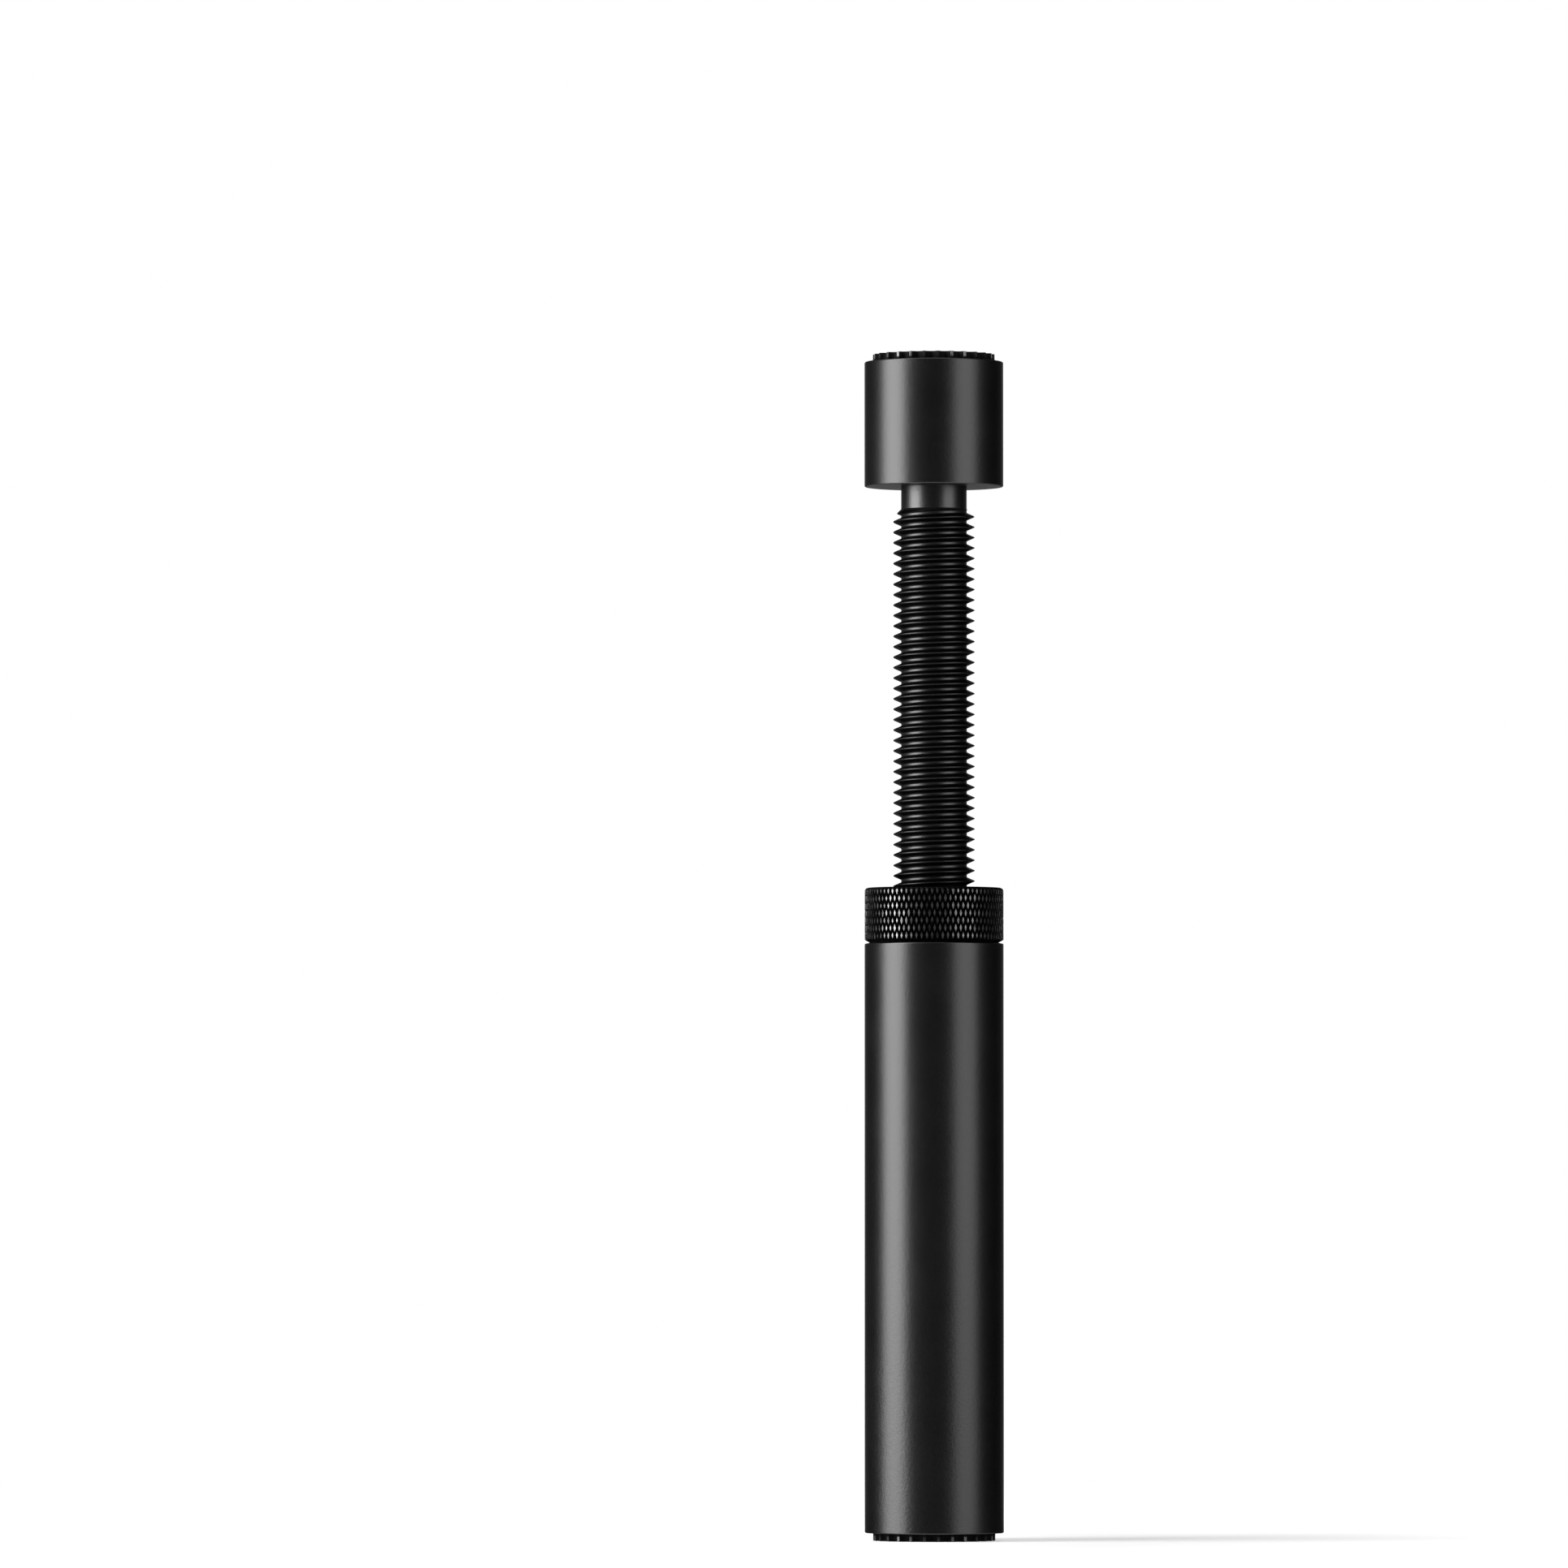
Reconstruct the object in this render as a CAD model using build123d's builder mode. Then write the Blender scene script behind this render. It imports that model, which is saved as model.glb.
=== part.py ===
from build123d import *
from math import cos, pi, sin
import os

# Graphics card support bracket: a screw jack that stands under the free end of the card.
# Millimetres, +Z up, the foot on Z = 0, in the pose of the photograph.

# Outside sizes
body_diameter = 20.0
tube_length = 84.8
ring_height = 7.9
head_length = 18.0
neck_length = 3.2
pad_proud = 1.1

# Screw thread, right-hand, M12 x 1.5 cut to a sharp root
thread_crest = 11.7
thread_depth = 1.125
thread_pitch = 1.5
thread_turns = 55
thread_slack = 0.18
thread_angle = 86.0
points_per_turn = 18

# Where the rod stands in the photograph, as the length of rod inside the tube
rod_in_tube = 20.0

# Inside sizes
bore_slack = 0.3
bore_floor = 2.4
tenon_shoulder = 0.725
tenon_length = 10.5
tenon_slack = 0.04
tenon_end_gap = 0.5
pad_seat_wall = 1.15
pad_seat_depth = 1.2
pad_slack = 0.05
pad_ledge = 1.3
magnet_height = 3.0
magnet_slack = 0.05
magnet_cover = 0.2

# Edges
small_edge = 0.12
ring_top_edge = 0.4
groove_depth = 0.75
ring_groove_height = 0.41
tube_groove_height = 0.15
bore_edge = 0.5
tip_edge = 1.3
tenon_edge = 0.5

# Rim of the rubber pads
flute_count = 27
flute_radius = 0.78

# Diamond knurl on the ring
knurl_count = 82
knurl_row = 1.07
knurl_depth = 0.3

# Radii that follow from the sizes
body_radius = body_diameter / 2
crest_radius = thread_crest / 2
root_radius = crest_radius - thread_depth
bore_radius = crest_radius + bore_slack
tenon_radius = root_radius - tenon_shoulder
seat_radius = body_radius - pad_seat_wall
pad_radius = seat_radius - pad_slack
pocket_radius = seat_radius - pad_ledge
magnet_radius = pocket_radius - magnet_slack

# Heights that follow from the sizes
tube_bottom = pad_proud
tube_top = tube_bottom + tube_length
ring_top = tube_top + ring_height
rod_tip = tube_top - rod_in_tube
thread_top = rod_tip + thread_turns * thread_pitch
head_bottom = thread_top + neck_length
head_top = head_bottom + head_length
magnet_bottom = tube_bottom + pad_seat_depth
pocket_top = magnet_bottom + magnet_height + magnet_cover
bore_bottom = pocket_top + bore_floor


# One turn of a right-hand helix that starts on the X axis
def helix_turn(radius, height):
    slope = thread_pitch / (2 * pi)
    angles = [2 * pi * i / points_per_turn for i in range(points_per_turn + 1)]
    points = [(radius * cos(a), radius * sin(a), height + slope * a) for a in angles]
    along = (0, radius, slope)
    return Edge.make_spline(points, tangents=(along, along), parameters=angles, scale=False)


# A solid screw with V-shaped turns, ending in a ramp at each end
def screw_solid(inner, outer, start, turns):
    root = helix_turn(inner, start)
    crest = helix_turn(outer, start + thread_pitch / 2)
    flanks = [
        Face.make_surface_from_curves(root, crest),
        Face.make_surface_from_curves(crest, root.moved(Location((0, 0, thread_pitch)))),
    ]
    middle = Edge.make_line((0, 0, start), (0, 0, start + thread_pitch))
    ramp = Face.make_surface_from_curves(middle, root)
    section = [
        (0, 0, start),
        (inner, 0, start),
        (outer, 0, start + thread_pitch / 2),
        (inner, 0, start + thread_pitch),
        (0, 0, start + thread_pitch),
    ]
    step_face = Face(Wire.make_polygon(section))
    end = Location((0, 0, turns * thread_pitch))
    faces = [ramp, step_face, ramp.moved(end), step_face.moved(end)]
    for i in range(turns):
        up = Location((0, 0, i * thread_pitch))
        faces += [flank.moved(up) for flank in flanks]
    return Solid(Shell(faces)).rotate(Axis.Z, thread_angle)


# A point of the knurl, counted in diamonds round the ring
def knurl_point(radius, column, height):
    angle = 2 * pi * column / knurl_count
    return (radius * cos(angle), radius * sin(angle), height)


# The knurled bar between two flat ends, its diamonds four-sided points
def knurled_solid(bottom, top, bottom_radius, top_radius, low, high):
    outer = body_radius
    inner = outer - knurl_depth
    rows = max(2, round((high - low) / knurl_row))
    step = (high - low) / rows
    triangles = []
    for row in range(rows + 1):
        height = low + row * step
        for i in range(knurl_count):
            column = i + 0.5 * (row % 2)
            peak = knurl_point(outer, column, height)
            left = knurl_point(inner, column - 0.5, height)
            right = knurl_point(inner, column + 0.5, height)
            if row < rows:
                above = knurl_point(inner, column, height + step)
                triangles += [(peak, right, above), (peak, above, left)]
            if row > 0:
                below = knurl_point(inner, column, height - step)
                triangles += [(peak, left, below), (peak, below, right)]
    ends = []
    for row, height, radius in ((0, bottom, bottom_radius), (rows, top, top_radius)):
        edge = low + row * step
        ends.append([])
        for i in range(knurl_count):
            column = i + 0.5 * (row % 2)
            peak = knurl_point(outer, column, edge)
            valley = knurl_point(inner, column + 0.5, edge)
            after = knurl_point(outer, column + 1, edge)
            rim = knurl_point(radius, column, height)
            next_rim = knurl_point(radius, column + 1, height)
            triangles += [(peak, valley, rim), (valley, after, next_rim), (valley, next_rim, rim)]
            ends[-1].append(rim)
    return Solid(Shell([Face(Wire.make_polygon(loop)) for loop in triangles + ends]))


# Base tube: turned bar, bored from above, with the magnet pocket and pad seat below
with BuildPart() as base_tube:
    with BuildSketch(Plane.XZ):
        with BuildLine():
            Polyline(
                (0, pocket_top),
                (pocket_radius, pocket_top),
                (pocket_radius, magnet_bottom),
                (seat_radius, magnet_bottom),
                (seat_radius, tube_bottom),
                (body_radius - small_edge, tube_bottom),
                (body_radius, tube_bottom + small_edge),
                (body_radius, tube_top - tube_groove_height),
                (body_radius - groove_depth, tube_top),
                (bore_radius + bore_edge, tube_top),
                (bore_radius, tube_top - bore_edge),
                (bore_radius, bore_bottom),
                (0, bore_bottom),
                close=True,
            )
        make_face()
    revolve(axis=Axis.Z)

# Foot pad: rubber disc with a fluted rim, bonded into the seat under the tube
with BuildPart() as foot_pad:
    with BuildSketch(Plane.XY) as foot_rim:
        Circle(pad_radius)
        with PolarLocations(pad_radius, flute_count):
            Circle(flute_radius, mode=Mode.SUBTRACT)
    extrude(amount=pad_proud)
    with BuildSketch(Plane.XY.offset(pad_proud)):
        Circle(pad_radius)
    extrude(amount=pad_seat_depth)

# Magnet: plain disc above the foot pad
with BuildPart() as base_magnet:
    with BuildSketch(Plane.XY.offset(magnet_bottom)):
        Circle(magnet_radius)
    extrude(amount=magnet_height)

# Threaded hole of the ring, countersunk at both ends
with BuildPart() as ring_hole:
    first_turn = int((tube_top - rod_tip) / thread_pitch) - 2
    add(
        screw_solid(
            root_radius + thread_slack,
            crest_radius + thread_slack,
            rod_tip + first_turn * thread_pitch,
            int(ring_height / thread_pitch) + 5,
        )
    )
    with BuildSketch(Plane.XZ):
        with BuildLine():
            Polyline(
                (0, tube_top),
                (bore_radius + bore_edge, tube_top),
                (0, tube_top + bore_radius + bore_edge),
                close=True,
            )
        make_face()
        with BuildLine():
            Polyline(
                (0, ring_top),
                (bore_radius + bore_edge, ring_top),
                (0, ring_top - bore_radius - bore_edge),
                close=True,
            )
        make_face()
    revolve(axis=Axis.Z)

# Adjusting ring: knurled nut that turns on the rim of the tube
with BuildPart() as adjusting_ring:
    add(
        knurled_solid(
            tube_top,
            ring_top,
            body_radius - groove_depth,
            body_radius - ring_top_edge,
            tube_top + ring_groove_height,
            ring_top - ring_top_edge,
        )
    )
    add(ring_hole.part, mode=Mode.SUBTRACT)

# Threaded rod: screw, plain neck and the tenon that is pressed into the head
with BuildPart() as threaded_rod:
    add(screw_solid(root_radius, crest_radius, rod_tip - thread_pitch, thread_turns + 1))
    with BuildSketch(Plane.XZ):
        with BuildLine():
            Polyline(
                (0, rod_tip),
                (crest_radius - tip_edge, rod_tip),
                (crest_radius + thread_pitch, rod_tip + tip_edge + thread_pitch),
                (crest_radius + thread_pitch, rod_tip - 2 * thread_pitch),
                (0, rod_tip - 2 * thread_pitch),
                close=True,
            )
        make_face()
        with BuildLine():
            Polyline(
                (0, thread_top),
                (root_radius, thread_top),
                (crest_radius + thread_pitch, thread_top - crest_radius - thread_pitch + root_radius),
                (crest_radius + thread_pitch, thread_top + 2 * thread_pitch),
                (0, thread_top + 2 * thread_pitch),
                close=True,
            )
        make_face()
    revolve(axis=Axis.Z, mode=Mode.SUBTRACT)
    with BuildSketch(Plane.XZ):
        with BuildLine():
            Polyline(
                (0, thread_top),
                (root_radius, thread_top),
                (root_radius, head_bottom),
                (tenon_radius, head_bottom),
                (tenon_radius, head_bottom + tenon_length - tenon_edge),
                (tenon_radius - tenon_edge, head_bottom + tenon_length),
                (0, head_bottom + tenon_length),
                close=True,
            )
        make_face()
    revolve(axis=Axis.Z)

# Support head: turned bar with a blind hole for the tenon and a seat for the top pad
with BuildPart() as support_head:
    with BuildSketch(Plane.XZ):
        with BuildLine():
            Polyline(
                (0, head_bottom + tenon_length + tenon_end_gap),
                (tenon_radius + tenon_slack, head_bottom + tenon_length + tenon_end_gap),
                (tenon_radius + tenon_slack, head_bottom),
                (body_radius - small_edge, head_bottom),
                (body_radius, head_bottom + small_edge),
                (body_radius, head_top - small_edge),
                (body_radius - small_edge, head_top),
                (seat_radius, head_top),
                (seat_radius, head_top - pad_seat_depth),
                (0, head_top - pad_seat_depth),
                close=True,
            )
        make_face()
    revolve(axis=Axis.Z)

# Top pad: the same rubber disc, turned over, bonded into the seat on the head
with BuildPart() as top_pad:
    with BuildSketch(Plane.XY.offset(head_top)) as top_rim:
        Circle(pad_radius)
        with PolarLocations(pad_radius, flute_count):
            Circle(flute_radius, mode=Mode.SUBTRACT)
    extrude(amount=pad_proud)
    with BuildSketch(Plane.XY.offset(head_top)):
        Circle(pad_radius)
    extrude(amount=-pad_seat_depth)

os.makedirs("parts", exist_ok=True)

base_tube.part.label = "base_tube"
export_step(base_tube.part, "parts/base_tube.step")

foot_pad.part.label = "foot_pad"
export_step(foot_pad.part, "parts/foot_pad.step")

base_magnet.part.label = "base_magnet"
export_step(base_magnet.part, "parts/base_magnet.step")

adjusting_ring.part.label = "adjusting_ring"
export_step(adjusting_ring.part, "parts/adjusting_ring.step")

threaded_rod.part.label = "threaded_rod"
export_step(threaded_rod.part, "parts/threaded_rod.step")

support_head.part.label = "support_head"
export_step(support_head.part, "parts/support_head.step")

top_pad.part.label = "top_pad"
export_step(top_pad.part, "parts/top_pad.step")
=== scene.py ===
from math import hypot, pi, radians, sqrt
from random import Random

import bmesh
import bpy
from bmesh.types import BMEdge, BMFace, BMVert
from mathutils import Matrix, Vector


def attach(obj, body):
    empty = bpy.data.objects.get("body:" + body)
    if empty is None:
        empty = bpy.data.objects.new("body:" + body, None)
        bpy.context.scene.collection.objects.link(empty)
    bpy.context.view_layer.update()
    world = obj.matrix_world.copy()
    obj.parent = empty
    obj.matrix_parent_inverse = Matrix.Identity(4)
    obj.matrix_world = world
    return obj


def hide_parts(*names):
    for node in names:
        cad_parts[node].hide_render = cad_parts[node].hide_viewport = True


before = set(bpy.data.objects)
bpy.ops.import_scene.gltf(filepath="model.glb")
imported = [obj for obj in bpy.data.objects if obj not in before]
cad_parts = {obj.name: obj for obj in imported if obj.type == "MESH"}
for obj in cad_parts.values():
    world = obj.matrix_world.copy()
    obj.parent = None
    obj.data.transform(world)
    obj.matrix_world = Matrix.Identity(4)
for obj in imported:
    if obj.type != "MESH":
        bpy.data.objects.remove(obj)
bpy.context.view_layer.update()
print("frame loaded with", len(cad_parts), "nodes")


# shader maths

def plug(tree, slot, item):  # a link for a socket, a plain value for the rest
    if isinstance(item, Value):
        tree.links.new(item.socket, slot)
    else:
        slot.default_value = item


def mathNode(tree, operation, *items):
    made = tree.nodes.new("ShaderNodeMath")
    made.operation = operation
    for slot, item in zip(made.inputs, items):
        plug(tree, slot, item)
    return Value(tree, made.outputs[0])


class Value:  # a socket that can stand in a sum
    def __init__(self, tree, socket):
        self.tree, self.socket = tree, socket

    def __add__(self, other):
        return mathNode(self.tree, "ADD", self, other)

    def __sub__(self, other):
        return mathNode(self.tree, "SUBTRACT", self, other)

    def __rsub__(self, other):
        return mathNode(self.tree, "SUBTRACT", other, self)

    def __mul__(self, other):
        return mathNode(self.tree, "MULTIPLY", self, other)

    def __truediv__(self, other):
        return mathNode(self.tree, "DIVIDE", self, other)

    def __rtruediv__(self, other):
        return mathNode(self.tree, "DIVIDE", other, self)

    def __pow__(self, other):
        return mathNode(self.tree, "POWER", self, other)

    def __rpow__(self, other):
        return mathNode(self.tree, "POWER", other, self)

    def __abs__(self):
        return mathNode(self.tree, "ABSOLUTE", self)

    __radd__ = __add__
    __rmul__ = __mul__


class Nodes:  # the node tree of a material or of the world
    def __init__(self, owner):
        owner.use_nodes = True
        self.owner, self.tree = owner, owner.node_tree

    def node(self, kind, settings=None, inputs=None, out=0):
        made = self.tree.nodes.new(kind)
        for key, item in (settings or {}).items():
            setattr(made, key, item)
        for key, item in (inputs or {}).items():
            plug(self.tree, made.inputs[key], item)
        return Value(self.tree, made.outputs[out])

    def finish(self, **inputs):  # baseColor becomes Base Color, and so on
        shader = self.tree.nodes["Principled BSDF"]
        for key, item in inputs.items():
            name = "".join(" " + c if c.isupper() else c for c in key).title().replace("Ior", "IOR")
            plug(self.tree, shader.inputs[name], item)
        return self.owner

    def spot(self):
        return self.node("ShaderNodeTexCoord", out="Object")

    def axis(self, spot, letter):
        return self.node("ShaderNodeSeparateXYZ", inputs={0: spot}, out=letter)

    def radius(self, spot):  # distance from the part's axis
        x, y = self.axis(spot, "X"), self.axis(spot, "Y")
        return (x * x + y * y) ** 0.5

    def noise(self, spot, scale, detail=3.0, roughness=0.6):
        return self.node("ShaderNodeTexNoise", {"noise_dimensions": "3D"},
                         {"Vector": spot, "Scale": scale, "Detail": detail, "Roughness": roughness})

    def ramp(self, value, span, low=0.0, high=1.0):  # low before the span, high after it
        return self.node("ShaderNodeMapRange", {"interpolation_type": "SMOOTHSTEP", "clamp": True},
                         {"Value": value, "From Min": span[0], "From Max": span[1],
                          "To Min": low, "To Max": high})

    def mix(self, factor, first, second):
        return self.node("ShaderNodeMix", {"data_type": "RGBA"},
                         {"Factor": factor, 6: first, 7: second}, out=2)

    def bump(self, height, distance=1.0, strength=1.0):
        return self.node("ShaderNodeBump",
                         inputs={"Height": height, "Strength": strength, "Distance": distance})

    def ray(self, kind):
        return self.node("ShaderNodeLightPath", out=kind)

    def glowing(self, level):
        return self.node("ShaderNodeEmission", inputs={"Color": level})

    def mixShader(self, factor, first, second):
        return self.node("ShaderNodeMixShader", inputs={0: factor, 1: first, 2: second})

    def addShader(self, first, second):
        return self.node("ShaderNodeAddShader", inputs={0: first, 1: second})


def grey(level):
    return (level, level, level, 1.0)


def shifted(size, amounts):  # a span measured from one of a piece's sizes
    return [size + amount for amount in amounts]


def satinBlack(*edges):  # bead-blasted and anodised, a little paler along the edges, which is a painted edge highlight
    look = {"dark": 0.094, "pale": 0.106, "rim": 0.25, "cloud": 160,
            "worn": 0.135, "glintWidth": 0.0002, "glintLeast": 0.4,
            "roughness": 0.335, "grainRoughness": 0.10, "cloudRoughness": 0.05,
            "grain": 3600, "grainDepth": 0.000012, "peel": 1600, "peelDepth": 0.000007,
            "coarse": 1.6, "coarseSpan": (0.005, 0.070)}
    n = Nodes(bpy.data.materials.new("satinBlack"))
    spot = n.spot()
    height = n.axis(spot, "Z")
    grain = n.noise(spot, look["grain"])
    peel = n.noise(spot, look["peel"], detail=2.0, roughness=0.5)
    cloud = n.noise(spot, look["cloud"], roughness=0.5)
    coarse = n.ramp(height, look["coarseSpan"], look["coarse"], 1.0)  # blasted harder towards the foot
    # painted highlight: the base colour pales within a fifth of a millimetre of each edge, patchy with the
    # grain
    worn = sum(n.ramp(abs(height - edge), (0.0, look["glintWidth"]), 1.0, 0.0) for edge in edges)
    colour = n.mix(cloud, grey(look["dark"]), grey(look["pale"]))
    return n.finish(
        baseColor=n.mix(worn * (look["glintLeast"] + grain), colour, grey(look["worn"])),
        metallic=1.0,
        specularTint=grey(look["rim"]),
        roughness=(look["roughness"] + (grain - 0.5) * look["grainRoughness"]
                   + (cloud - 0.5) * look["cloudRoughness"]),
        normal=n.bump((grain * look["grainDepth"] + peel * look["peelDepth"]) * coarse))


def knurlBlack(sizes):  # painted shade makes the grooves black, the tops are rubbed
    look = {"grooveShade": 0.012, "plain": 0.095, "top": 0.32, "rim": 0.04,
            "rubbing": 1100, "rubbingSpan": (0.30, 0.60), "leastRubbed": 0.22, "rubbingDepth": 0.000050,
            "topSpan": (-0.000030, -0.000016), "insideSpan": (-0.00050, -0.00040),
            "roughness": 0.50, "smoother": 0.16}
    n = Nodes(bpy.data.materials.new("knurlBlack"))
    spot = n.spot()
    radius = n.radius(spot)
    rubbing = n.noise(spot, look["rubbing"])
    top = n.ramp(radius, shifted(sizes["radius"], look["topSpan"]))
    worn = top * n.ramp(rubbing, look["rubbingSpan"], look["leastRubbed"], 1.0)
    inside = n.ramp(radius, shifted(sizes["radius"], look["insideSpan"]), 1.0, 0.0)  # flat faces and hole
    # painted shade: the knurl's groove walls are near black, and the flat faces and hole are plain
    colour = n.mix(inside, grey(look["grooveShade"]), grey(look["plain"]))
    return n.finish(
        baseColor=n.mix(worn, colour, grey(look["top"])),
        metallic=1.0,
        specularTint=grey(look["rim"]),
        roughness=look["roughness"] - (top + inside) * look["smoother"],
        normal=n.bump(rubbing, look["rubbingDepth"]))


def threadBlack(sizes):  # turned and anodised, with fine tool marks, the neck blasted, and painted shade darkening the flanks
    look = {"dark": 0.110, "pale": 0.135, "flank": 0.040, "crest": 0.6, "neck": 0.125, "rim": 0.25,
            "roughness": 0.39, "neckRoughness": 0.34, "streakRoughness": 0.12, "fleckRoughness": 0.08,
            "streak": 9000, "streakStretch": 6.0, "streakDepth": 0.000004,
            "fleck": 2600, "fleckDepth": 0.000012,
            "rootSpan": (0.00015, 0.00035), "crestSpan": (-0.00020, -0.00008), "neckSpan": (-0.0001, 0.0002)}
    n = Nodes(bpy.data.materials.new("threadBlack"))
    spot = n.spot()
    radius, height = n.radius(spot), n.axis(spot, "Z")
    rings = n.node("ShaderNodeCombineXYZ", inputs={0: radius * look["streakStretch"], 1: height})
    streak = n.noise(rings, look["streak"], detail=2.0, roughness=0.5)
    fleck = n.noise(spot, look["fleck"])
    neck = n.ramp(height, shifted(sizes["threadTop"], look["neckSpan"]))
    # painted shade: the flanks between root and crest are darker, and the crest keeps part of it
    flank = (n.ramp(radius, shifted(sizes["root"], look["rootSpan"]))
             * n.ramp(radius, shifted(sizes["crest"], look["crestSpan"]), 1.0, look["crest"]))
    colour = n.mix(flank, n.mix(fleck, grey(look["dark"]), grey(look["pale"])), grey(look["flank"]))
    return n.finish(
        baseColor=n.mix(neck, colour, grey(look["neck"])),
        metallic=1.0,
        specularTint=grey(look["rim"]),
        roughness=(look["roughness"] + neck * (look["neckRoughness"] - look["roughness"])
                   + (streak - 0.5) * look["streakRoughness"] + (fleck - 0.5) * look["fleckRoughness"]),
        normal=n.bump(streak * look["streakDepth"] + fleck * neck * look["fleckDepth"]))


def padRubber(sizes):  # moulded, dead black, with a gloss on the ribs clear of the metal
    look = {"dark": 0.0064, "pale": 0.0096, "dull": 0.65, "grainRoughness": 0.08, "specular": 0.12,
            "gloss": 0.28, "glossIor": 2.2, "glossLeast": 0.6, "glossGrain": 0.8,
            "grain": 4200, "grainDepth": 0.00001, "grainStrength": 0.4,
            "clearSpan": (-0.00082, -0.00058), "ribSpan": (-0.00008, -0.00002)}
    n = Nodes(bpy.data.materials.new("padRubber"))
    spot = n.spot()
    middle = sizes["top"] / 2
    fromMiddle = abs(n.axis(spot, "Z") - middle)
    clear = n.ramp(fromMiddle, shifted(middle, look["clearSpan"]))
    rib = n.ramp(n.radius(spot), shifted(sizes["radius"], look["ribSpan"]))
    grain = n.noise(spot, look["grain"])
    return n.finish(
        baseColor=n.mix(grain, grey(look["dark"]), grey(look["pale"])),
        roughness=look["dull"] + (grain - 0.5) * look["grainRoughness"],
        specularIorLevel=look["specular"],
        coatWeight=rib * clear * (look["glossLeast"] + grain * look["glossGrain"]),
        coatRoughness=look["gloss"],
        coatIor=look["glossIor"],
        normal=n.bump(grain, look["grainDepth"], look["grainStrength"]))


def nickelPlate():  # the magnet's plating
    look = {"dark": (0.54, 0.53, 0.50, 1.0), "pale": (0.66, 0.64, 0.60, 1.0), "mark": 700,
            "roughness": 0.22, "markRoughness": 0.14, "markDepth": 0.00001, "markStrength": 0.2}
    n = Nodes(bpy.data.materials.new("nickelPlate"))
    mark = n.noise(n.spot(), look["mark"])
    return n.finish(
        baseColor=n.mix(mark, look["dark"], look["pale"]),
        metallic=1.0,
        roughness=look["roughness"] + mark * look["markRoughness"],
        normal=n.bump(mark, look["markDepth"], look["markStrength"]))


# modelling

touching = 2e-6  # points nearer than this are one


def whole(bm):
    return bm.verts[:] + bm.edges[:] + bm.faces[:]


def picked(geom, kind):
    return [g for g in geom if isinstance(g, kind)]


def towards(spot, other, distance):
    return spot.lerp(other, distance / (other - spot).length)


def turnOf(v):  # angle about Z, counted from X
    return Vector((1, 0)).angle_signed(v.co.xy) % (2 * pi)


def addObject(name, data):
    made = bpy.data.objects.new(name, data)
    bpy.context.scene.collection.objects.link(made)
    return made


def soften(bm, geom, size, affect="VERTICES", segments=3):
    bmesh.ops.bevel(bm, geom=geom, offset=size, offset_type="OFFSET", segments=segments, profile=0.5,
                    affect=affect, material=-1, clamp_overlap=affect == "EDGES")


def cut(bm, height, up):  # clears what is below a height, or above it where up is -1
    bmesh.ops.bisect_plane(bm, geom=whole(bm), dist=1e-7, plane_co=(0, 0, height), plane_no=(0, 0, up),
                           clear_inner=True)


def trim(bm, low, high):
    cut(bm, low, 1)
    cut(bm, high, -1)


def limitRadius(bm, limit, pick=min):  # turns the sheet down, or bores it out, to a cone
    for v in bm.verts:
        radius = hypot(v.co.x, v.co.y)
        share = pick(radius, limit(v.co.z)) / radius
        v.co.x *= share
        v.co.y *= share


def rimEdges(bm, height):  # the open edge of a shell at one height
    return [e for e in bm.edges if e.is_boundary and all(abs(v.co.z - height) < touching for v in e.verts)]


def setRadius(verts, radius, height):
    for v in verts:
        out = Vector((v.co.x, v.co.y, 0)).normalized() * radius
        v.co = (out.x, out.y, height)


def pullRim(bm, edges, radius, height):  # draws an open edge out to a new circle
    grown = bmesh.ops.extrude_edge_only(bm, edges=edges)["geom"]
    setRadius(picked(grown, BMVert), radius, height)
    return [e for e in picked(grown, BMEdge) if e.is_boundary]


def evenRim(bm, edges, count, slip=0.001):  # welds the stray points of a cut edge to its evenly spaced ones
    turns = {v: turnOf(v) * count / (2 * pi) for e in edges for v in e.verts}
    even = {round(turn) % count: v for v, turn in turns.items() if abs(turn - round(turn)) < slip}
    stray = {v: even[round(turn) % count] for v, turn in turns.items() if v not in even.values()}
    bmesh.ops.weld_verts(bm, targetmap=stray)


def capRim(bm, edges):
    bmesh.ops.edgeloop_fill(bm, edges=edges)


def place(name, bm, material, body, node, crease):
    bmesh.ops.recalc_face_normals(bm, faces=bm.faces[:])
    mesh = bpy.data.meshes.new(name)
    bm.to_mesh(mesh)
    bm.free()
    mesh.shade_smooth()
    mesh.set_sharp_from_angle(angle=radians(crease))
    mesh.materials.append(material)
    piece = addObject(name, mesh)
    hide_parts(node)
    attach(piece, body)
    print(name, len(mesh.polygons), "faces")
    return piece


def turned(corners, steps=192, hold=1.7):  # spins a wire of (radius, height, rounding) about Z
    bm = bmesh.new()
    wire, rounded = [], {}
    spots = [Vector((r, 0, z)) for r, z, _ in corners]
    for i, (spot, (_, _, edge)) in enumerate(zip(spots, corners)):
        if edge:  # two more points hold the flats beside a rounded corner
            wire.append(bm.verts.new(towards(spot, spots[i - 1], hold * edge)))
        wire.append(bm.verts.new(spot))
        if edge:
            rounded.setdefault(edge, []).append(wire[-1])
            wire.append(bm.verts.new(towards(spot, spots[i + 1], hold * edge)))
    for pair in zip(wire, wire[1:]):
        bm.edges.new(pair)
    for edge, verts in rounded.items():
        soften(bm, verts, edge)
    bmesh.ops.spin(bm, geom=bm.verts[:] + bm.edges[:], cent=(0, 0, 0), axis=(0, 0, 1), angle=2 * pi,
                   steps=steps, use_merge=True)
    bmesh.ops.remove_doubles(bm, verts=bm.verts[:], dist=touching)
    return bm


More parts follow.
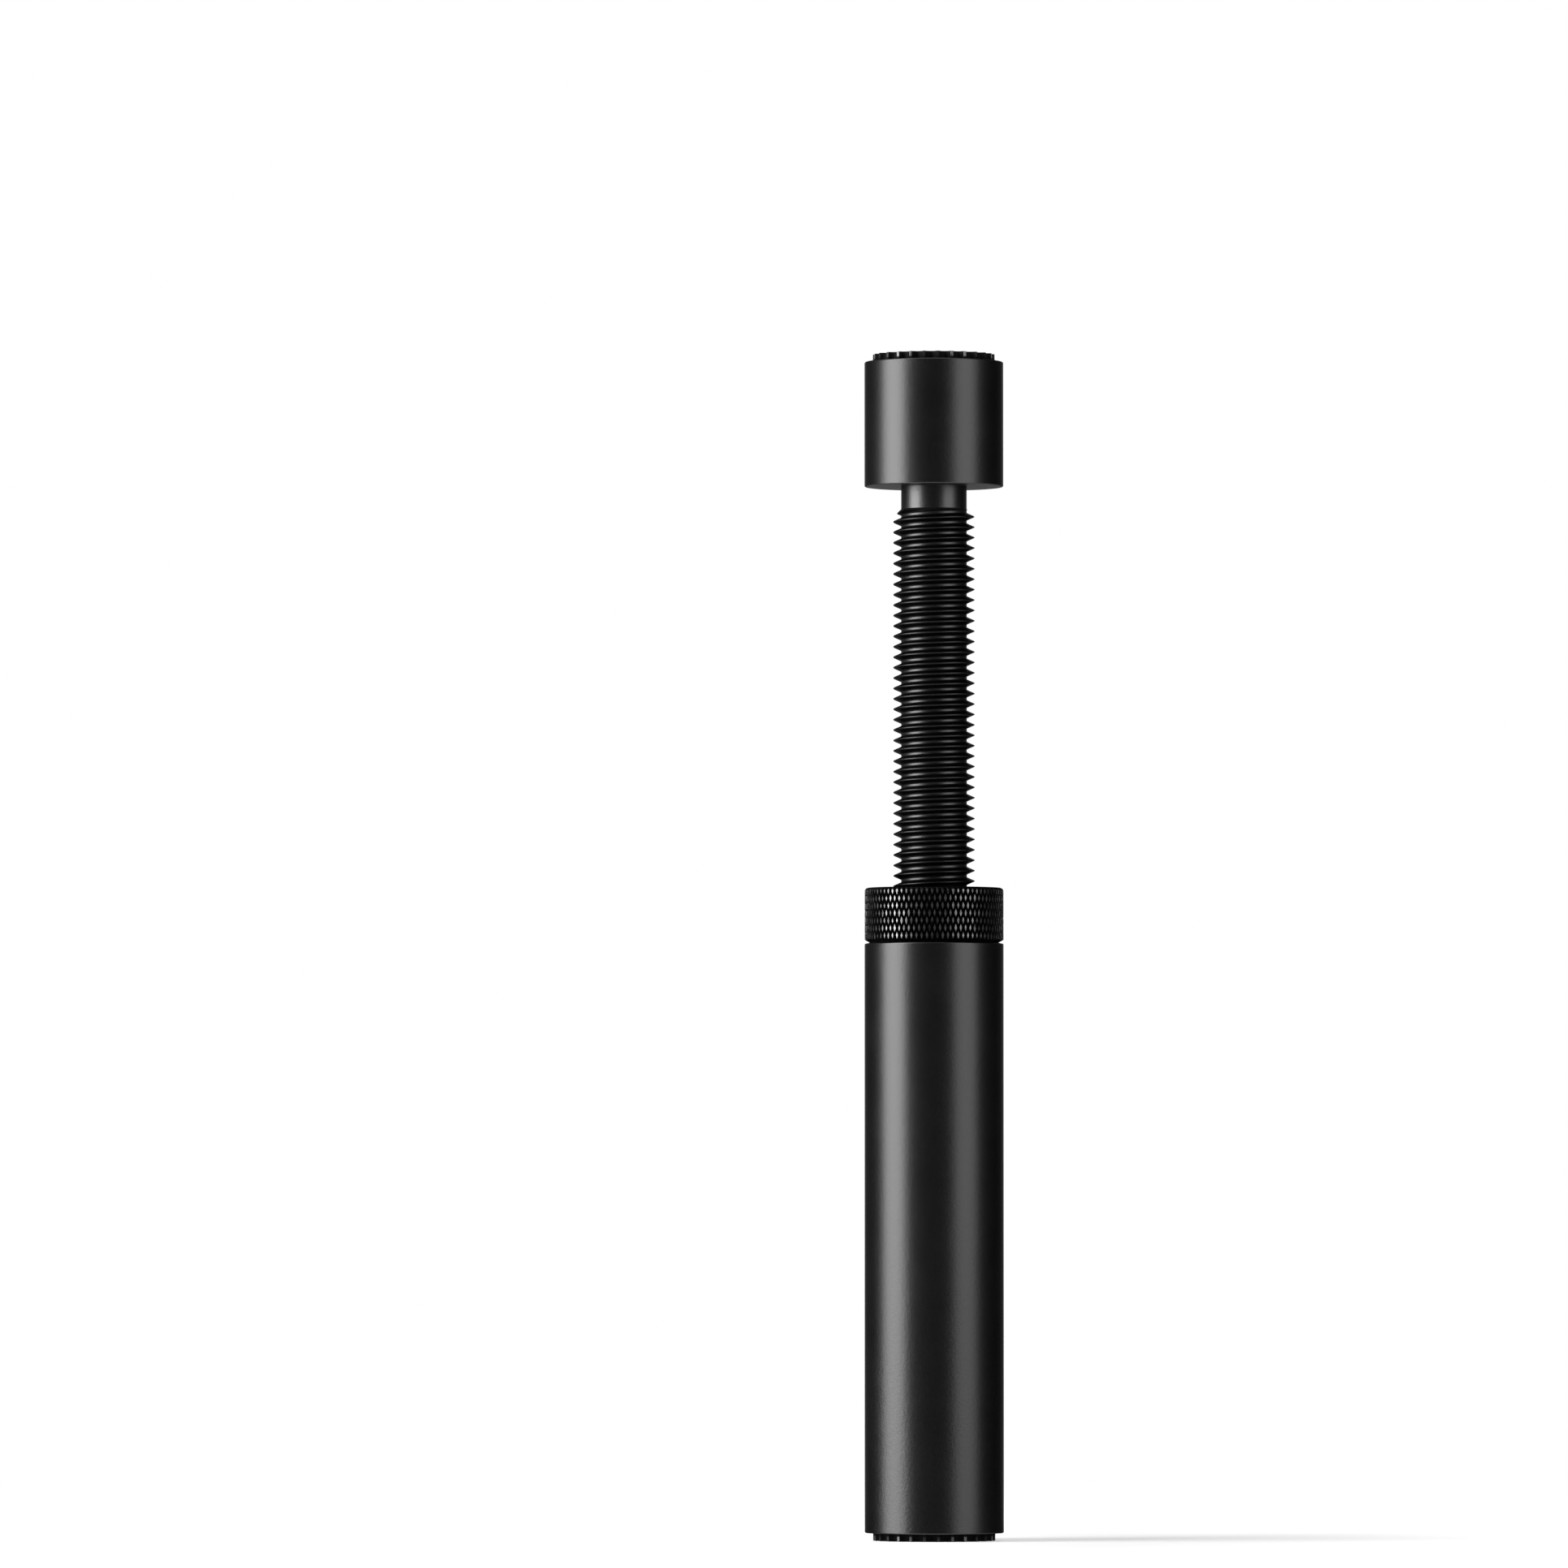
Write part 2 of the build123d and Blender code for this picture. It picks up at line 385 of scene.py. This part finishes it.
def threadSheet(sizes, low, high, slack=0.0, lead=1.2):  # a helical sheet, longer than the piece at both ends
    pitch, steps = sizes["pitch"], sizes["steps"]
    root, crest = sizes["root"] + slack, sizes["crest"] + slack
    flat, land = sizes["rootFlat"] / 2, sizes["crestFlat"] / 2
    start = sizes["tip"] - pitch * (1 + sizes["phase"] / 360)
    start += pitch * int((low - start) / pitch - lead)
    bm = bmesh.new()
    wire = [bm.verts.new((r, 0, start + z)) for r, z in
            ((root, 0), (root, flat), (crest, pitch / 2 - land), (crest, pitch / 2 + land),
             (root, pitch - flat), (root, pitch))]
    for pair in zip(wire, wire[1:]):
        bm.edges.new(pair)
    soften(bm, [wire[1], wire[4]], sizes["rootRound"])
    soften(bm, [wire[2], wire[3]], sizes["crestRound"])
    flanks = [e for e in bm.edges if e.calc_length() > pitch / 3]
    bmesh.ops.subdivide_edges(bm, edges=flanks, cuts=sizes["flankCuts"])
    bmesh.ops.spin(bm, geom=bm.verts[:] + bm.edges[:], cent=(0, 0, 0), axis=(0, 0, 1),
                   dvec=(0, 0, pitch / steps), angle=2 * pi, steps=steps)
    turns = 1
    while start + turns * pitch < high:  # each pass doubles the turns
        more = bmesh.ops.duplicate(bm, geom=whole(bm))["geom"]
        bmesh.ops.translate(bm, vec=(0, 0, turns * pitch), verts=picked(more, BMVert))
        turns *= 2
    cut(bm, high + pitch, -1)
    bmesh.ops.remove_doubles(bm, verts=bm.verts[:], dist=touching)
    return bm


tubeSizes = {"radius": 0.0100, "bottom": 0.0011, "top": 0.0859, "bore": 0.00615, "boreFloor": 0.0079,
             "boreEdge": 0.0005, "pocket": 0.00755, "pocketTop": 0.0055, "seat": 0.00885, "seatTop": 0.0023,
             "edge": 0.00012, "grooveDepth": 0.00075, "grooveHeight": 0.00015, "grooveRound": 0.00013,
             "soft": 0.00004, "crease": 38}


def baseTube(s, material):
    r, soft = s["radius"], s["soft"]
    bm = turned([
        (0, s["pocketTop"], 0), (s["pocket"], s["pocketTop"], 0), (s["pocket"], s["seatTop"], 0),
        (s["seat"], s["seatTop"], 0), (s["seat"], s["bottom"], 0),
        (r - s["edge"], s["bottom"], soft), (r, s["bottom"] + s["edge"], soft),
        (r, s["top"] - s["grooveHeight"], s["grooveRound"]), (r - s["grooveDepth"], s["top"], soft),
        (s["bore"] + s["boreEdge"], s["top"], soft), (s["bore"], s["top"] - s["boreEdge"], soft),
        (s["bore"], s["boreFloor"], 0), (0, s["boreFloor"], 0)])
    return place("baseTube", bm, material, "base", "base_tube", s["crease"])


headSizes = {"radius": 0.0100, "bottom": 0.1516, "top": 0.1696, "hole": 0.00404, "holeTop": 0.1626,
             "seat": 0.00885, "seatFloor": 0.1684, "edge": 0.00012, "soft": 0.00004, "crease": 38}


def supportHead(s, material):
    r, soft = s["radius"], s["soft"]
    bm = turned([
        (0, s["holeTop"], 0), (s["hole"], s["holeTop"], 0), (s["hole"], s["bottom"], 0),
        (r - s["edge"], s["bottom"], soft), (r, s["bottom"] + s["edge"], soft),
        (r, s["top"] - s["edge"], soft), (r - s["edge"], s["top"], soft),
        (s["seat"], s["top"], 0), (s["seat"], s["seatFloor"], 0), (0, s["seatFloor"], 0)])
    return place("supportHead", bm, material, "rod", "support_head", s["crease"])


rodSizes = {"tip": 0.0659, "threadTop": 0.1484, "neckTop": 0.1516, "crest": 0.00585, "root": 0.004725,
            "pitch": 0.0015, "phase": 86.0, "steps": 60, "flankCuts": 3, "rootFlat": 0.00038,
            "rootRound": 0.00010, "crestFlat": 0.00014, "crestRound": 0.00005, "band": 0.00005,
            "tipRadius": 0.00455, "tenon": 0.0040, "tenonTop": 0.1621, "tenonEdge": 0.0005, "crease": 42}


def threadedRod(s, material):
    bm = threadSheet(s, s["tip"], s["threadTop"])
    limitRadius(bm, lambda z: min(s["root"] + max(0, s["threadTop"] - z),
                                  s["tipRadius"] + max(0, z - s["tip"])))
    trim(bm, s["tip"], s["threadTop"])
    evenRim(bm, rimEdges(bm, s["threadTop"]), s["steps"])
    rim = rimEdges(bm, s["threadTop"])
    setRadius({v for e in rim for v in e.verts}, s["root"], s["threadTop"])
    rim = pullRim(bm, rim, s["root"], s["threadTop"] + s["band"])  # keeps the thread's shading off the neck
    rim = pullRim(bm, rim, s["root"], s["neckTop"])
    rim = pullRim(bm, rim, s["tenon"], s["neckTop"])
    rim = pullRim(bm, rim, s["tenon"], s["tenonTop"] - s["tenonEdge"])
    rim = pullRim(bm, rim, s["tenon"] - s["tenonEdge"], s["tenonTop"])
    capRim(bm, rim)
    capRim(bm, rimEdges(bm, s["tip"]))
    return place("threadedRod", bm, material, "rod", "threaded_rod", s["crease"])


ringSizes = {"bottom": 0.0859, "top": 0.0938, "radius": 0.0100, "depth": 0.00030, "columns": 82,
             "row": 0.00107, "firstRow": 0.00089, "rows": 9, "weld": 0.00003, "slope": 0.000205,
             "uneven": (0.85, 0.95, 1.0, 1.05, 1.15), "seed": 5, "topsUnder": 0.00001,
             "topEdge": 0.0004, "topRound": 0.35, "grooveDepth": 0.00075, "grooveHeight": 0.00041,
             "mouth": 0.00665, "slack": 0.00018, "crease": 30}


def adjustingRing(s, thread, material):
    bm = bmesh.new()
    base = s["radius"] - s["depth"]
    half = pi / s["columns"]
    bmesh.ops.create_circle(bm, cap_ends=True, segments=4, radius=1)  # one diamond, stood up in front
    bmesh.ops.scale(bm, vec=(base * half, s["row"], 1), verts=bm.verts[:])
    bmesh.ops.rotate(bm, cent=(0, 0, 0), matrix=Matrix.Rotation(pi / 2, 3, "X"), verts=bm.verts[:])
    bmesh.ops.translate(bm, vec=(0, -base, s["bottom"] + s["firstRow"] - s["row"]), verts=bm.verts[:])
    bmesh.ops.spin(bm, geom=bm.faces[:], cent=(0, 0, 0), axis=(0, 0, 1), angle=2 * pi - 2 * half,
                   steps=s["columns"] - 1, use_duplicate=True)
    row = bm.faces[:]
    for _ in range(1, s["rows"]):
        row = picked(bmesh.ops.duplicate(bm, geom=row)["geom"], BMFace)
        verts = list({v for f in row for v in f.verts})
        bmesh.ops.rotate(bm, cent=(0, 0, 0), matrix=Matrix.Rotation(half, 3, "Z"), verts=verts)
        bmesh.ops.translate(bm, vec=(0, 0, s["row"]), verts=verts)
    bmesh.ops.remove_doubles(bm, verts=bm.verts[:], dist=s["weld"])
    bmesh.ops.recalc_face_normals(bm, faces=bm.faces[:])
    diamonds = bm.faces[:]
    if sum(f.normal.xy.dot(f.calc_center_median().xy) for f in diamonds) < 0:
        bmesh.ops.reverse_faces(bm, faces=diamonds)
    Random(s["seed"]).shuffle(diamonds)
    for i, share in enumerate(s["uneven"]):  # no two cuts alike
        bmesh.ops.inset_individual(bm, faces=diamonds[i::len(s["uneven"])], thickness=s["slope"] * share,
                                   depth=s["depth"] - s["topsUnder"], use_even_offset=True)
    low, high = s["bottom"] + s["grooveHeight"], s["top"] - s["topEdge"]
    trim(bm, low, high)
    pullRim(bm, rimEdges(bm, low), s["radius"] - s["grooveDepth"], s["bottom"])
    over = pullRim(bm, rimEdges(bm, high), s["radius"] - s["topEdge"] * s["topRound"],
                   s["top"] - s["topEdge"] * s["topRound"])
    pullRim(bm, over, s["radius"] - s["topEdge"], s["top"])
    hole = threadSheet(thread, s["bottom"], s["top"], s["slack"])
    limitRadius(hole, lambda z: s["mouth"] - min(abs(z - s["bottom"]), abs(s["top"] - z)), max)
    trim(hole, s["bottom"], s["top"])
    sheet = bpy.data.meshes.new("holeSheet")
    hole.to_mesh(sheet)
    hole.free()
    bm.from_mesh(sheet)
    bpy.data.meshes.remove(sheet)
    for height in (s["bottom"], s["top"]):
        bmesh.ops.bridge_loops(bm, edges=rimEdges(bm, height))
    return place("adjustingRing", bm, material, "ring", "adjusting_ring", s["crease"])


padSizes = {"radius": 0.0088, "proud": 0.0011, "seat": 0.0012, "flutes": 27, "fluteRadius": 0.00078,
            "flutePoints": 24, "edge": 0.00008, "band": 0.98, "soleInset": 1.5, "foot": 0.0, "top": 0.1707,
            "crease": 40}


def rubberPad(name, s, material, body, node, low, up):  # up is 1 for the foot, -1 for the top
    bm = bmesh.new()
    shoulderHeight = low + up * s["proud"]
    bmesh.ops.create_circle(bm, cap_ends=False, segments=s["flutes"] * s["flutePoints"], radius=s["radius"])
    for v in bm.verts:  # round notches in the rim
        along = (turnOf(v) * s["flutes"] / (2 * pi) + 0.5) % 1 - 0.5
        across = abs(along) * 2 * pi * s["radius"] / s["flutes"]
        notch = sqrt(max(0, s["fluteRadius"] ** 2 - across ** 2))
        v.co *= 1 - notch / s["radius"]
    bmesh.ops.translate(bm, vec=(0, 0, low), verts=bm.verts[:])
    outline = bm.edges[:]
    walls = bmesh.ops.extrude_edge_only(bm, edges=outline)["geom"]
    bmesh.ops.translate(bm, vec=(0, 0, up * s["proud"]), verts=picked(walls, BMVert))
    pullRim(bm, rimEdges(bm, shoulderHeight), s["radius"], shoulderHeight)
    bmesh.ops.remove_doubles(bm, verts=bm.verts[:], dist=touching)  # the ribs are out there already
    capRim(bm, pullRim(bm, rimEdges(bm, shoulderHeight), s["radius"], shoulderHeight + up * s["seat"]))
    sole = bmesh.ops.extrude_edge_only(bm, edges=outline)["geom"]  # a narrow band keeps the flat face flat
    bmesh.ops.scale(bm, vec=(s["band"], s["band"], 1), verts=picked(sole, BMVert))
    rim = [e for e in picked(sole, BMEdge) if e.is_boundary]
    capRim(bm, pullRim(bm, rim, s["radius"] - s["soleInset"] * s["fluteRadius"], low))
    bmesh.ops.recalc_face_normals(bm, faces=bm.faces[:])
    soften(bm, outline, s["edge"], "EDGES", 2)
    return place(name, bm, material, body, node, s["crease"])


satin = satinBlack(tubeSizes["bottom"], tubeSizes["top"] - tubeSizes["grooveHeight"],
                   headSizes["bottom"], headSizes["top"])
rubber = padRubber(padSizes)
baseTube(tubeSizes, satin)
supportHead(headSizes, satin)
threadedRod(rodSizes, threadBlack(rodSizes))
adjustingRing(ringSizes, rodSizes, knurlBlack(ringSizes))
rubberPad("footPad", padSizes, rubber, "base", "foot_pad", padSizes["foot"], 1)
rubberPad("topPad", padSizes, rubber, "rod", "top_pad", padSizes["top"], -1)
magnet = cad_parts["base_magnet"]
magnet.data.materials.clear()
magnet.data.materials.append(nickelPlate())
print("pieces done")


# studio

cameraSetup = {"place": (-0.0216, -1.832, 0.0464), "lens": 292.3, "sensor": 36.0, "upward": 1.950,
               "nearest": 0.01, "farthest": 50}
lens = bpy.data.cameras.new("camera")
lens.lens, lens.sensor_width = cameraSetup["lens"], cameraSetup["sensor"]
lens.clip_start, lens.clip_end = cameraSetup["nearest"], cameraSetup["farthest"]
camera = addObject("camera", lens)
camera.location = cameraSetup["place"]
camera.rotation_euler = (radians(90 + cameraSetup["upward"]), 0, 0)
bpy.context.scene.camera = camera

softboxes = {
    "leftBox": {"turn": -71.5, "away": 0.60, "wide": 0.44, "tall": 1.40, "height": 0.34, "radiance": 4.2},
    "rightBox": {"turn": 53, "away": 0.60, "wide": 0.42, "tall": 1.00, "height": 0.14, "radiance": 1.25},
}
for name, s in softboxes.items():
    lamp = bpy.data.lights.new(name, "AREA")
    lamp.shape, lamp.size, lamp.size_y = "RECTANGLE", s["wide"], s["tall"]
    lamp.energy = s["radiance"] * pi * s["wide"] * s["tall"]
    way = Matrix.Rotation(radians(s["turn"]), 3, "Z") @ Vector((0, -1, 0))
    box = addObject(name, lamp)
    box.location = way * s["away"] + Vector((0, 0, s["height"]))
    box.rotation_euler = way.to_track_quat("Z", "Y").to_euler()

roomLook = {"front": 0.01, "behindSpan": (0.62, 0.90), "above": 0.5, "aboveSpan": (0.75, 0.95)}
n = Nodes(bpy.data.worlds.new("room"))
bpy.context.scene.world = n.owner
seen = n.ray("Is Camera Ray")
direction = n.node("ShaderNodeTexCoord", out="Generated")
behind = n.ramp(n.axis(direction, "Y"), roomLook["behindSpan"], roomLook["front"], 1.0)
above = n.ramp(n.axis(direction, "Z"), roomLook["aboveSpan"], 0.0, roomLook["above"])
backdrop = n.tree.nodes["Background"]
backdrop.inputs["Color"].default_value = grey(1.0)
plug(n.tree, backdrop.inputs["Strength"], seen + (1 - seen) * (behind + above))

floorLook = {"size": 3.0, "sides": 96, "dark": 0.90, "pale": 0.94, "patch": 40, "farSpan": (0.12, 0.40),
             "glowLeftPaintedLight": 0.64, "glowRightPaintedShade": 0.40, "glowSpan": (-0.030, 0.030),
             "glowAway": 0.68, "awaySpan": (0.03, 0.12),
             "sheen": 0.5, "sheenRoughness": 0.15, "steep": 0.4, "steepSpan": (0.25, 0.55),
             "backSpan": (0.72, 0.92), "backFrom": (0.03, 0.20), "backFar": 0.15, "backFarSpan": (0.5, 1.0)}
bm = bmesh.new()
bmesh.ops.create_circle(bm, cap_ends=True, segments=floorLook["sides"], radius=floorLook["size"])
floorMesh = bpy.data.meshes.new("floor")
bm.to_mesh(floorMesh)
bm.free()
floor = addObject("floor", floorMesh)
n = Nodes(bpy.data.materials.new("paleFloor"))
spot = n.spot()
radius, side, depth = n.radius(spot), n.axis(spot, "X"), n.axis(spot, "Y")
patches = n.noise(spot, floorLook["patch"], detail=2.0, roughness=0.5)
colour = n.mix(patches, grey(floorLook["dark"]), grey(floorLook["pale"]))
paint = n.node("ShaderNodeBsdfDiffuse", inputs={"Color": colour})

# what the camera sees of the floor: paint and shadow near the part, white far away; its glow is painted shade
# and light, dimmer to the right of and close to the part, which deepens the shadow there, and brighter to the
# left, which hides the shadow that falls there
near = n.ramp(side, floorLook["glowSpan"], floorLook["glowLeftPaintedLight"], floorLook["glowRightPaintedShade"])
glow = near + n.ramp(radius, floorLook["awaySpan"]) * (floorLook["glowAway"] - near)
far = n.ramp(radius, floorLook["farSpan"])
shown = n.mixShader(far, n.addShader(n.glowing(glow), paint), n.glowing(grey(1.0)))

# what the metal mirrors of it
sheen = n.node("ShaderNodeBsdfGlossy",
               inputs={"Color": grey(floorLook["sheen"]), "Roughness": floorLook["sheenRoughness"]})
white = n.glowing(n.ramp(depth, floorLook["backFarSpan"], 1.0, floorLook["backFar"]))
back = n.ramp(depth / radius, floorLook["backSpan"]) * n.ramp(radius, floorLook["backFrom"])
facing = n.node("ShaderNodeLayerWeight", inputs={"Blend": 0.5}, out="Facing")
steep = n.glowing(n.ramp(1 - facing, floorLook["steepSpan"], 0.0, floorLook["steep"]))
image = n.addShader(n.mixShader(back, sheen, white), steep)

mirrored = n.node("ShaderNodeMath", {"operation": "MAXIMUM"},
                  {0: n.ray("Is Glossy Ray"), 1: n.ray("Is Transmission Ray")})
surface = n.mixShader(n.ray("Is Camera Ray"), n.mixShader(mirrored, paint, image), shown)
plug(n.tree, n.tree.nodes["Material Output"].inputs["Surface"], surface)
n.owner.cycles.emission_sampling = "NONE"
floorMesh.materials.append(n.owner)

bpy.context.scene.view_settings.view_transform = "Standard"
print("studio done")
